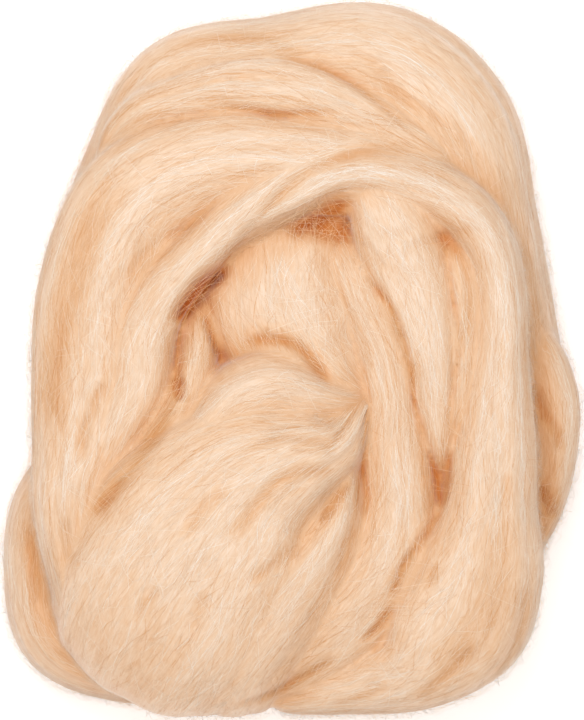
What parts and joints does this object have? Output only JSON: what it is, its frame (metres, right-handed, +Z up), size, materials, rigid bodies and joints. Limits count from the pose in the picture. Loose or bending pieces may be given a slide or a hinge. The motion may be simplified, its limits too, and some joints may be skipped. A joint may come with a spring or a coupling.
{
  "type": "wool roving bundle",
  "caption": "Soft bundle of pale peach combed wool roving, folded on itself into a plump oval with overlapping untwisted strands.",
  "frame": {"origin": "On the flat underside that the bundle rests on, below its middle.", "axes": "+X to the right across the bundle in the face-on view, +Y up along its length in that view, +Z up from the surface it lies on, towards the viewer of that view"},
  "size_m": [0.1792, 0.2216, 0.0734],
  "materials": {
    "peach_wool": "matte combed wool fibre"
  },
  "bodies": {
    "root": {"roving": "peach_wool"}
  },
  "joints": []
}
